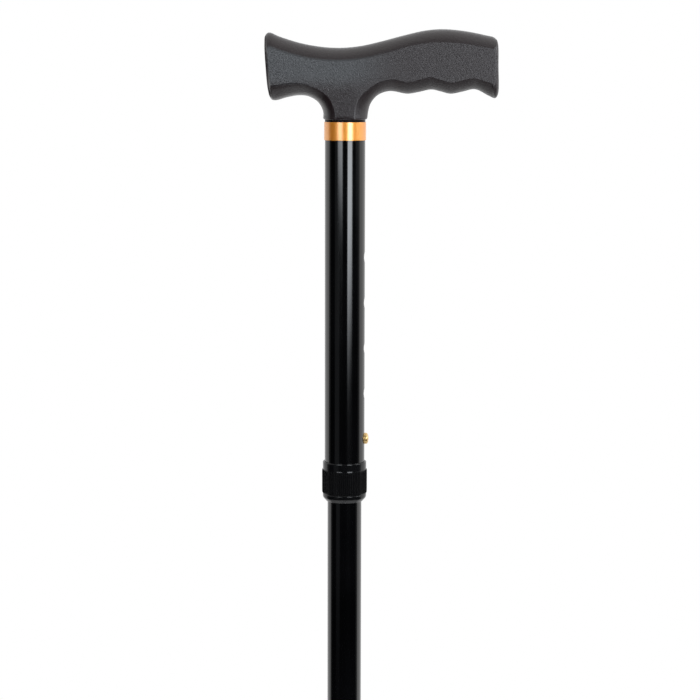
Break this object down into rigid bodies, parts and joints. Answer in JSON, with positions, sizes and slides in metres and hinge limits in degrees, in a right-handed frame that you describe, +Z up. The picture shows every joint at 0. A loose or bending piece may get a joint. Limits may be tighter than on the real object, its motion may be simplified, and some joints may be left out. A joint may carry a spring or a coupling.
{
  "type": "folding cane",
  "caption": "Folding walking cane with a fritz-style handle, height-adjustable telescoping tube with snap button and lock nut, elastic-corded folding sections and a rubber tip.",
  "frame": {"origin": "middle of the foot of the rubber tip, on the floor", "axes": "+Z up along the shaft to the handle, +X towards the finger grip and the snap button, +Y across the handle"},
  "size_m": [0.1274, 0.034, 0.9401],
  "materials": {
    "grip_plastic": "dark grey moulded plastic with a fine even grain",
    "gold_ring": "polished gold-anodised",
    "black_tube": "glossy black anodised",
    "steel": "plain bright steel",
    "nut_plastic": "glossy rings and a finely ribbed band",
    "white_nylon": "natural nylon",
    "brass_clip": "bright spring brass",
    "black_nylon": "satin black nylon",
    "cord_fabric": "braided cover over a rubber core",
    "tip_rubber": "matte black rubber"
  },
  "bodies": {
    "handle": {"handle": "grip_plastic", "trim_ring": "gold_ring", "handle_tube": "black_tube", "stem_pin": "steel", "lock_olive": "white_nylon"},
    "lock_nut": {"lock_nut": "nut_plastic"},
    "upper_shaft": {"upper_tube": "black_tube", "slide_bush": "white_nylon", "cord_anchor": "black_nylon", "cord_stop_top": "steel", "elastic_cord": "cord_fabric", "socket_sleeve_1": "black_nylon"},
    "snap_button": {"snap_button": "brass_clip"},
    "second_section": {"joint_plug_1": "black_nylon", "shaft_tube_2": "black_tube", "socket_sleeve_2": "black_nylon"},
    "third_section": {"joint_plug_2": "black_nylon", "shaft_tube_3": "black_tube", "socket_sleeve_3": "black_nylon"},
    "tip_section": {"joint_plug_3": "black_nylon", "shaft_tube_4": "black_tube", "tip_plug": "black_nylon", "tip_washer": "steel", "cord_stop_bottom": "steel", "rubber_tip": "tip_rubber"}
  },
  "joints": [
    {"name": "height_adjust", "type": "slide", "parent": "handle", "child": "upper_shaft", "axis": [0, 0, 1], "range_m": [0, 0.1016], "deforming": ["snap_button"]},
    {"name": "lock_nut_turn", "type": "hinge", "parent": "handle", "child": "lock_nut", "pos_m": [0, 0, 0.69], "axis": [0, 0, -1], "range_deg": [0, 360]},
    {"name": "button_press", "type": "slide", "parent": "upper_shaft", "child": "snap_button", "axis": [-1, 0, 0], "range_m": [0, 0.0036], "stiffness_N_per_m": 500, "springref_m": -0.004, "deforming": ["snap_button"]},
    {"name": "fold_1", "type": "hinge", "parent": "upper_shaft", "child": "second_section", "pos_m": [0, 0.015, 0.538], "axis": [1, 0, 0], "range_deg": [0, 180], "stiffness_Nm_per_rad": 0.1, "springref_deg": -171.89, "deforming": ["elastic_cord"]},
    {"name": "fold_2", "type": "hinge", "parent": "second_section", "child": "third_section", "pos_m": [-0.01299, 0.0075, 0.358], "axis": [0.5, 0.866, 0], "range_deg": [0, 180], "stiffness_Nm_per_rad": 0.1, "springref_deg": -171.89, "deforming": ["elastic_cord"]},
    {"name": "fold_3", "type": "hinge", "parent": "third_section", "child": "tip_section", "pos_m": [-0.01299, -0.0075, 0.178], "axis": [-0.5, 0.866, 0], "range_deg": [0, 180], "stiffness_Nm_per_rad": 0.1, "springref_deg": -171.89, "deforming": ["elastic_cord"]}
  ]
}
